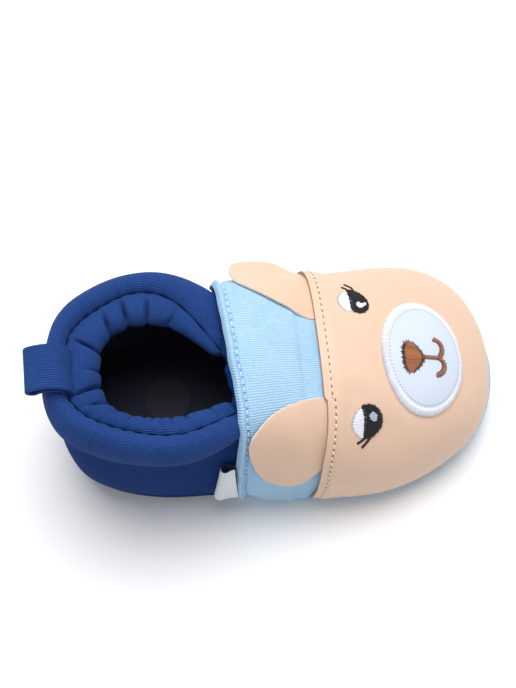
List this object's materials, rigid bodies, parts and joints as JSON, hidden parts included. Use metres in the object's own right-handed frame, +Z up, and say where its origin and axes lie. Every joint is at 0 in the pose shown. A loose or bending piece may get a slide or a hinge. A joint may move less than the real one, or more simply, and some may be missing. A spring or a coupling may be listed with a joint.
{
  "type": "baby bootie",
  "caption": "Soft-soled baby bootie with an animal face on the toe, ear flaps, a gathered padded collar and a pull loop at the heel",
  "frame": {"origin": "on the floor under the middle of the sole, at its centre line", "axes": "+X towards the toe, +Y towards the wearer's left, +Z up"},
  "size_m": [0.1303, 0.0665, 0.0584],
  "materials": {
    "royal_jersey": "matte ribbed cotton jersey",
    "sky_jersey": "matte ribbed cotton jersey",
    "peach_leather": "smooth soft synthetic leather, slight sheen",
    "pale_leather": "smooth soft synthetic leather, slight sheen",
    "navy_lining": "matte brushed cotton lining",
    "sky_sole": "matte soft cloth sole",
    "white_ribbon": "woven ribbon, left bare"
  },
  "bodies": {
    "root": {"upper": "royal_jersey", "collar": "royal_jersey", "pull_loop": "royal_jersey", "vamp": "sky_jersey", "face_panel": "peach_leather", "ear_left": "peach_leather", "ear_right": "peach_leather", "muzzle_patch": "pale_leather", "insole": "navy_lining", "outsole": "sky_sole", "tag": "white_ribbon"}
  },
  "joints": []
}
